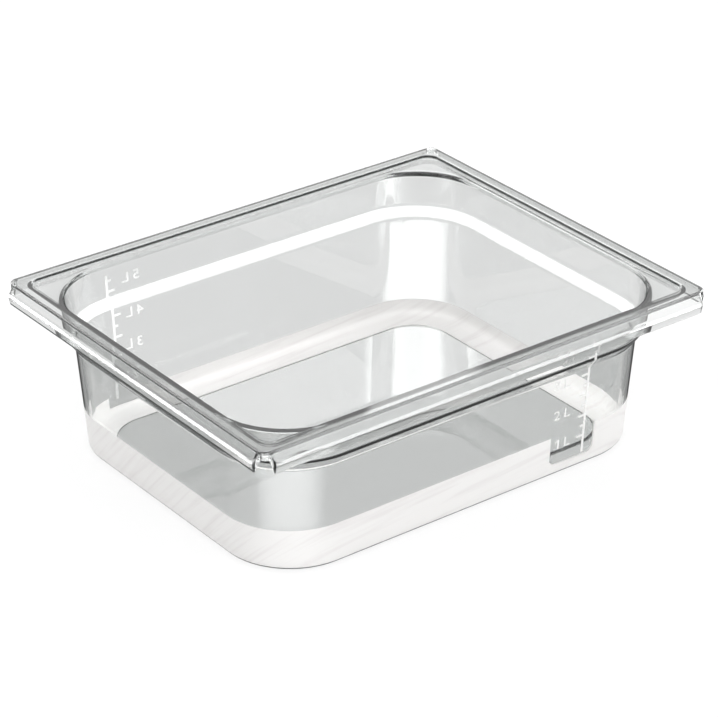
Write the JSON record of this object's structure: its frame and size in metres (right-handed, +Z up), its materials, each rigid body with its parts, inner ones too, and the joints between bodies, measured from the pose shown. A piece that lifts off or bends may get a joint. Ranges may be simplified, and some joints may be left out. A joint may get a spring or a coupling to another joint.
{
  "type": "deli food pan",
  "caption": "Clear half-size food pan with rounded tapering walls, stacking shoulder, lid ledge, skirted rim and printed litre scales, for holding food in a counter or fridge",
  "frame": {"origin": "centre of the pan's underside, on the surface that it stands on", "axes": "+X along the long sides, +Y across to the rear long wall, +Z up out of the opening"},
  "size_m": [0.325, 0.265, 0.1],
  "materials": {
    "clear_plastic": "polished clear polycarbonate, satin round the foot",
    "white_ink": "matt white print"
  },
  "bodies": {
    "root": {"pan_body": "clear_plastic", "front_scale_line": "white_ink", "front_mark_1_digit": "white_ink", "front_mark_1_unit": "white_ink", "front_mark_2_digit": "white_ink", "front_mark_2_unit": "white_ink", "front_mark_3_digit": "white_ink", "front_mark_3_unit": "white_ink", "front_mark_4_digit": "white_ink", "front_mark_4_unit": "white_ink", "rear_scale_line": "white_ink", "rear_mark_2_digit": "white_ink", "rear_mark_2_unit": "white_ink", "rear_mark_3_digit": "white_ink", "rear_mark_3_unit": "white_ink", "rear_mark_4_digit": "white_ink", "rear_mark_4_unit": "white_ink", "rear_mark_5_digit": "white_ink", "rear_mark_5_unit": "white_ink"}
  },
  "joints": []
}
